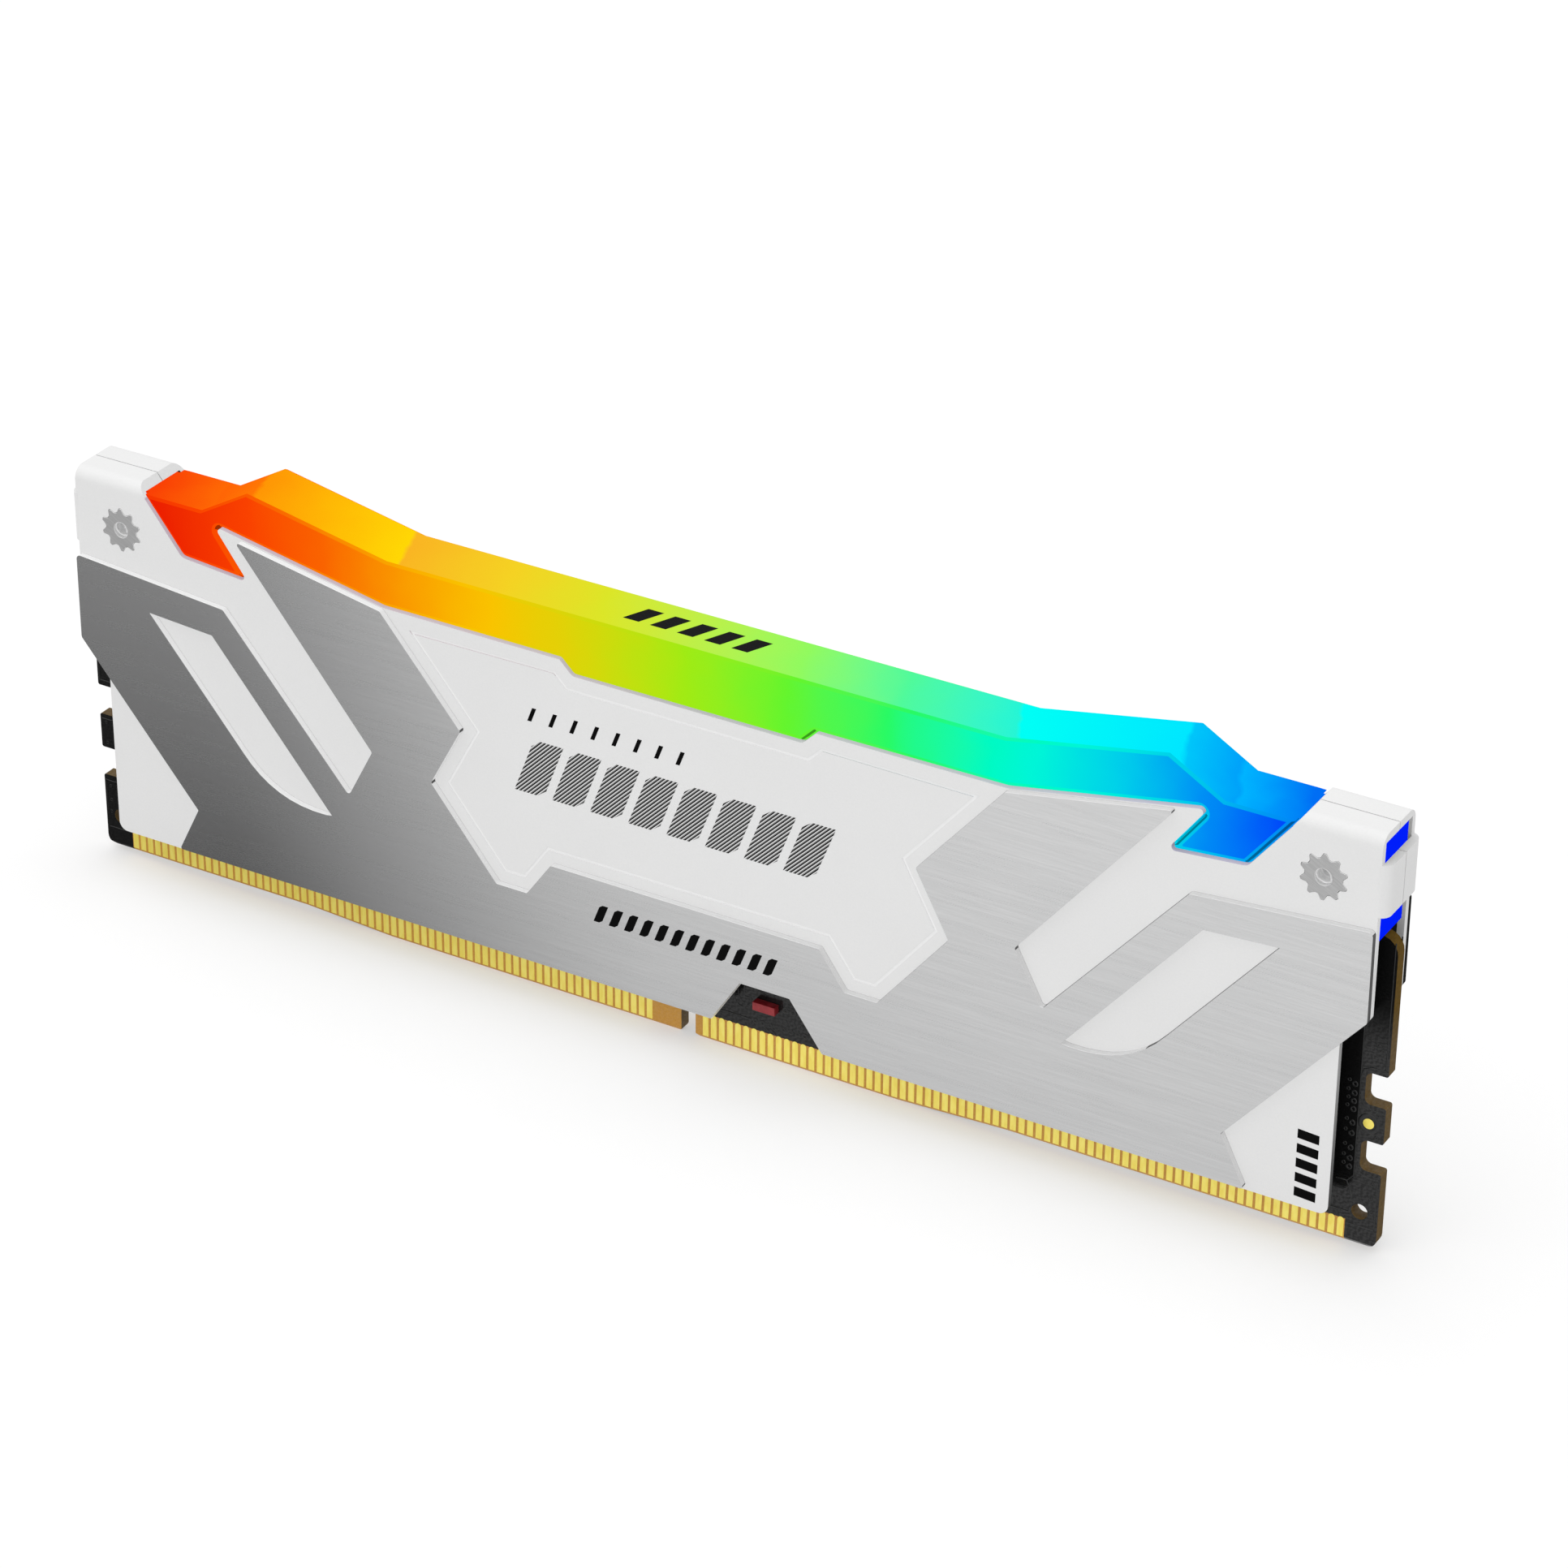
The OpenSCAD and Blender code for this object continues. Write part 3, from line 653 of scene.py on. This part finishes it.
INK_FOOT, INK_T = -0.01, 0.012
LEAN = 0.385                               # of the bars on the faces, along X for each step up
RIDGE_LEAN = 0.44                          # of the bars on the light bar, along X for each step in Y
CORNER_X = (59.95, 61.95)                  # ends of the short bars beside the shell's edge
CORNER_DROP = 0.12                         # fall of those bars from one end to the other


def slanted(x, low, high, width, lean, cut):
    """A leaning bar whose foot starts at x; its upper left and lower right corners can be cut."""
    shift = lean * (high - low)
    if not cut:
        return [(x, low), (x + width, low), (x + width + shift, high), (x + shift, high)]
    return [(x, low), (x + width - cut, low), (x + width + lean * cut, low + cut),
            (x + width + shift, high), (x + cut + shift, high), (x + shift - lean * cut, high - cut)]


def row(count, start, pitch, low, high, width, lean=LEAN, cut=0.0):
    """Outlines of equal leaning bars."""
    return [slanted(start + i * pitch, low, high, width, lean, cut) for i in range(count)]


def hatch(outlines):
    """Fine diagonal lines that fill the outlines."""
    up, down = (-math.sqrt(0.5), math.sqrt(0.5)), (math.sqrt(0.5), -math.sqrt(0.5))
    lines = [clip(clip(outline, up, k * HATCH_PITCH + HATCH_LINE), down, -k * HATCH_PITCH)
             for outline in outlines for k in range(-HATCH_REACH, HATCH_REACH)]
    return [line for line in lines if len(line) > 2]


def corner_row(count, start, pitch, height):
    """Outlines of the short bars that stand above each other beside the shell's edge."""
    near, far = CORNER_X
    return [[(near, low), (far, low - CORNER_DROP), (far, low + height - CORNER_DROP), (near, low + height)]
            for low in (start + i * pitch for i in range(count))]


def ink(name, outlines, across, material):
    """One piece of printed bars."""
    made = Mesh()
    for outline in outlines:
        made.slab(outline, INK_FOOT, INK_T, across)
    made.piece(name, material, "chip")


for side, turn in (("front", 1), ("back", -1)):
    shell, plate = on_face(SHELL_Y, turn), on_face(PLATE_Y, turn)
    ink("hatched_bars_" + side, hatch(row(8, -18.0, 3.98, 21.9, 27.5, 3.1, cut=0.7)), shell, HATCH)
    ink("tick_row_" + side, row(8, -16.5, 2.2, 29.3, 30.7, 0.42), shell, INK)
    ink("plate_bars_" + side, row(12, -9.4, 1.6, 11.1, 12.95, 0.85, cut=0.25), plate, INK)
    ink("corner_bars_" + side, corner_row(5, 5.3, 1.45, 0.9), shell, INK)
ink("ridge_bars", row(5, -7.6, 2.75, -1.25, 1.25, 1.6, lean=RIDGE_LEAN), on_top(RIDGE_Z), INK)


# ---- Relief of the board under its mask: vias, lines and pads, a table for each kind ----

RAISED, ROOT = 0.045, -0.02                # top of the relief above the board, and its foot inside it
VIA_COLUMN_X, SMALL_VIA_X = 63.72, 63.2
VIA_COLUMN = [16.3, 15.4, 14.6, 13.8, 12.45, 11.4, 9.95, 8.9, 8.05]                # Z
EDGE_VIAS = [(66.0, 20.2), (65.7, 20.6), (66.0, 13.85), (66.0, 11.65),             # X, Z
             (65.97, 6.9), (65.97, 5.4), (66.05, 4.1)]
ROUND_PAD = (65.2, 12.8)                                                           # X, Z
WINDOW_VIAS = [(8.7, 5.75, 0.34), (9.54, 5.75, 0.34), (8.62, 4.42, 0.36),          # X, Z, radius
               (9.48, 4.45, 0.34), (10.28, 4.43, 0.32), (5.86, 4.9, 0.28),
               (5.1, 7.6, 0.3), (11.6, 4.4, 0.3), (12.3, 3.7, 0.28)]
WINDOW_ROW = [(5.67 + 0.73 * i, 3.65, 0.26) for i in range(8)]
LINE_WIDTH, WINDOW_LINE_WIDTH = 0.12, 0.1
BOARD_LINES = [                                                                    # paths in X, Z
    [(64.19, 31.0), (64.19, 7.3), (63.6, 6.6)],
    [(62.6, 6.6), (63.6, 6.6), (64.19, 5.4), (64.15, 4.9)],
    [(64.25, 15.5), (64.45, 14.85), (64.85, 14.4), (65.5, 14.18), (66.5, 14.2)],
    [(64.25, 8.8), (64.45, 8.1), (64.9, 7.6), (65.6, 7.45), (66.5, 7.5)],
    [(64.25, 17.2), (64.45, 18.0), (65.2, 18.35), (66.5, 18.35)],
    [(62.4, 3.55), (63.9, 3.55)],
    [(63.9, 2.4), (66.4, 2.4)],
    [(66.42, 7.3), (66.42, 2.5)],
    [(66.42, 30.8), (66.42, 18.4)]]
WINDOW_LINES = [
    [(1.9, 3.72), (5.2, 3.72)], [(6.57, 3.41), (7.05, 2.98)], [(7.2, 3.28), (7.75, 2.8)],
    [(3.3, 6.6), (3.42, 5.6), (3.6, 5.1), (3.95, 4.82), (4.3, 4.8)],
    [(3.75, 7.3), (3.85, 6.0), (4.1, 5.45), (4.5, 5.2)],
    [(4.5, 7.6), (4.5, 5.9), (5.2, 5.95), (5.2, 5.3), (4.8, 5.1)],
    [(5.4, 8.4), (5.4, 7.1), (6.2, 6.85), (6.7, 6.75)],
    [(8.7, 5.75), (9.54, 5.75)], [(10.28, 4.43), (11.6, 4.4), (12.3, 3.7)],
    [(9.5, 8.6), (8.9, 7.6), (8.9, 6.9)]]
LINE_PROFILE = [(1.0, ROOT), (1.0, 0.0), (0.6, RAISED * 0.85), (0.0, RAISED), (-0.6, RAISED * 0.85),
                (-1.0, 0.0), (-1.0, ROOT)]


def ring_profile(outer, inner):
    """A rounded ridge between two radii."""
    mid, half = (outer + inner) / 2, (outer - inner) / 2
    top = [(mid + half * math.cos(a), RAISED * math.sin(a)) for a in (0.0, 0.6, 1.2, 1.94, 2.54, math.pi)]
    return [(outer, ROOT)] + top + [(inner, ROOT)]


def board_relief(across, padded):
    """Vias, lines and pad rings of one face; padded lists the ends that carry a round pad."""
    made = Mesh()
    for sx in (-1, 1):
        for i, z in enumerate(VIA_COLUMN):
            made.ring((sx * VIA_COLUMN_X, z), ring_profile(0.3, 0.12), across)
            beside = SMALL_VIA_X - 0.05 * (i % 2)
            made.ring((sx * beside, z + 0.28), ring_profile(0.2, 0.08), across, 20)
        for x, z in EDGE_VIAS:
            made.ring((sx * x, z), ring_profile(0.19, 0.07), across, 20)
        if sx in padded:
            made.ring((sx * ROUND_PAD[0], ROUND_PAD[1]), ring_profile(0.98, 0.64), across, 48)
        for path in BOARD_LINES:
            made.ribbon([(sx * x, z) for x, z in path], LINE_WIDTH, LINE_PROFILE, across)
    for x, z, r in WINDOW_VIAS + WINDOW_ROW:
        made.ring((x, z), ring_profile(r, r * 0.45), across)
    for path in WINDOW_LINES:
        made.ribbon(path, WINDOW_LINE_WIDTH, LINE_PROFILE, across)
    return made


board_relief(on_face(BOARD_Y), (1,)).piece("board_relief_front", RELIEF, "solder_mask", smooth=50)
board_relief(mirrored_face(BOARD_Y), (-1, 1)).piece("board_relief_back", RELIEF, "solder_mask", smooth=50)


# ---- Threads of the clamping bores ----

THREAD_Y = 3.6                             # the thread runs from -THREAD_Y to THREAD_Y
THREAD_TURNS, THREAD_STEPS = 7, 24         # full turns, and straight pieces in each
THREAD_PITCH = 2 * THREAD_Y / (THREAD_TURNS + 0.5)
THREAD_PROFILE = [(0.81, -0.11), (0.70, -0.02), (0.70, 0.02), (0.81, 0.11)]        # radius, Y


def thread(side):
    """The threaded wall of a clamping bore: a helical ridge."""
    low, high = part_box("clamp_post_" + side)
    cx, cz = (low.x + high.x) / 2 / MM, (low.z + high.z) / 2 / MM
    rings = []
    for i in range(THREAD_TURNS * THREAD_STEPS + 1):
        angle = 2 * math.pi * i / THREAD_STEPS
        y = -THREAD_Y + THREAD_PITCH * (0.25 + i / THREAD_STEPS)
        rings.append([(cx + r * math.cos(angle), y + h, cz + r * math.sin(angle))
                      for r, h in THREAD_PROFILE])
    made = Mesh()
    made.loft(rings)
    made.piece("bore_thread_" + side, CHROME, "bare_metal", smooth=60)


thread("left")
thread("right")


# ---- Stage: pale floor, even studio light, camera ----

def flat_card(name, half_width, near, far, z, material):
    """A level rectangle from Y near to Y far."""
    corners = [(-half_width, near, z), (half_width, near, z), (half_width, far, z), (-half_width, far, z)]
    mesh = bpy.data.meshes.new(name)
    mesh.from_pydata([Vector(c) * MM for c in corners], [], [(0, 1, 2, 3)])
    mesh.materials.append(material)
    thing = bpy.data.objects.new(name, mesh)
    bpy.context.scene.collection.objects.link(thing)
    return thing


def floor_look():
    """Pale even ground."""
    look = Look("floor", roughness=0.9, specular=0.0)
    grain = look.noise(look.place, 0.05, 2.0)
    look.set("Base Color", look.mix(grain, grey(0.595), grey(0.605)))
    look.set("Emission Color", grey(0.38))
    look.set("Emission Strength", 1.0)
    return look.material


# Light that a face mirrors, from its left to its right: place along the face, tone
STUDIO_TONES = [
    (-56, 0.16), (-46, 0.15), (-42, 0.165), (-34, 0.24), (-30, 0.29), (-22, 0.375), (-14, 0.475),
    (-6, 0.58), (2, 0.655), (10, 0.69), (22, 0.71), (38, 0.735), (54, 0.74)]


def card_look(turn):
    """Soft reflection of a studio that is dark to the left and bright to the right of a face."""
    look = Look("reflection_card_" + ("front" if turn > 0 else "back"), roughness=1.0, specular=0.0)
    away = look.size(look.y)
    reach = look.math("ADD", look.math("MULTIPLY", look.x, float(turn)), look.math("MULTIPLY", away, 0.857))
    tone = look.ramp(reach, [(at, grey(tone)) for at, tone in STUDIO_TONES])
    rise = look.math("MULTIPLY", look.math("SUBTRACT", look.math("MINIMUM", away, 60.0), 25.0), 0.0025)
    look.set("Base Color", grey(0.0))
    look.set("Emission Color", look.math("ADD", look.split(tone)[0], rise))
    look.set("Emission Strength", 1.0)
    return look.material


flat_card("floor", 2500, -2500, 2500, -0.02, floor_look())
for side, turn in (("front", 1), ("back", -1)):
    # Only mirrored: the camera, the shadows and the other lights don't see the cards
    card = flat_card("reflection_card_" + side, 300, 0, -turn * 260, 0.1, card_look(turn))
    card.visible_camera = False
    card.visible_diffuse = False
    card.visible_transmission = False
    card.visible_volume_scatter = False
    card.visible_shadow = False

# White surroundings and a broad soft light from above
world = bpy.data.worlds.new("studio")
world.use_nodes = True
world.node_tree.nodes["Background"].inputs["Color"].default_value = grey(1.0)
world.node_tree.nodes["Background"].inputs["Strength"].default_value = 0.80
bpy.context.scene.world = world

sun = bpy.data.lights.new("overhead", "SUN")
sun.energy = 1.0
sun.angle = math.radians(80)
lamp = bpy.data.objects.new("overhead", sun)
lamp.rotation_euler = Vector((-0.35, -0.25, 1.0)).to_track_quat("Z", "Y").to_euler()
bpy.context.scene.collection.objects.link(lamp)

# Long lens, from the front right and above; metres and degrees
view = bpy.data.cameras.new("camera")
view.lens = 115.95
view.sensor_width = 36.0
view.clip_start = 0.01
camera = bpy.data.objects.new("camera", view)
camera.location = (0.2005, -0.3311, 0.2452)
camera.rotation_euler = [math.radians(a) for a in (60.49, -0.39, 30.39)]
bpy.context.scene.collection.objects.link(camera)
bpy.context.scene.camera = camera
bpy.context.scene.view_settings.view_transform = "Standard"
